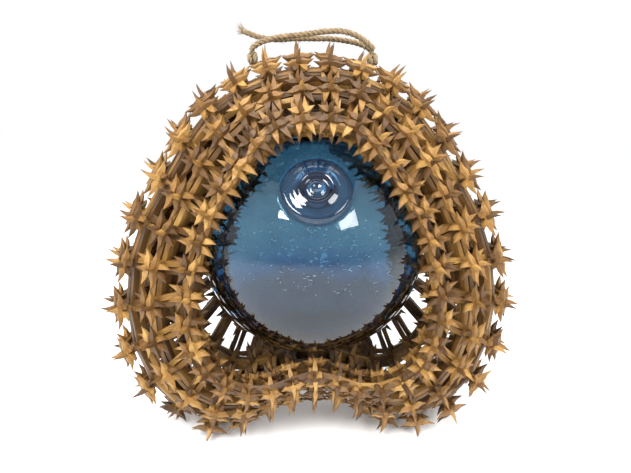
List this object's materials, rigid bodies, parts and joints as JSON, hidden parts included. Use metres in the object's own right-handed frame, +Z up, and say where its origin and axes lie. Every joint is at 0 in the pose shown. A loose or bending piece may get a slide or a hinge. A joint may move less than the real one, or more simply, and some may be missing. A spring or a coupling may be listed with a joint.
{
  "type": "glass fishing float in a thorn-work cage",
  "caption": "Blown blue glass float with a seal button, held in a wreath-shaped cage of interlocked pointed wooden sticks, with twine on top.",
  "frame": {"origin": "on the floor, under the middle of the cage", "axes": "+Z up, front of the cage and the float's seal towards -Y, +Y through the cage from front to back"},
  "size_m": [0.2942, 0.1499, 0.2801],
  "materials": {
    "glass": "gloss",
    "wood": "satin",
    "twine": "matte"
  },
  "bodies": {
    "root": {"glass_float": "glass", "course_1_front_rim": "wood", "course_2_front": "wood", "course_3_front": "wood", "course_4_girth": "wood", "course_5_back": "wood", "course_6_back": "wood", "course_7_back_rim": "wood", "inner_course_front": "wood", "inner_course_back": "wood", "twine_hanger": "twine", "twine_tail": "twine", "twine_knot_left": "twine", "twine_knot_right": "twine"}
  },
  "joints": []
}
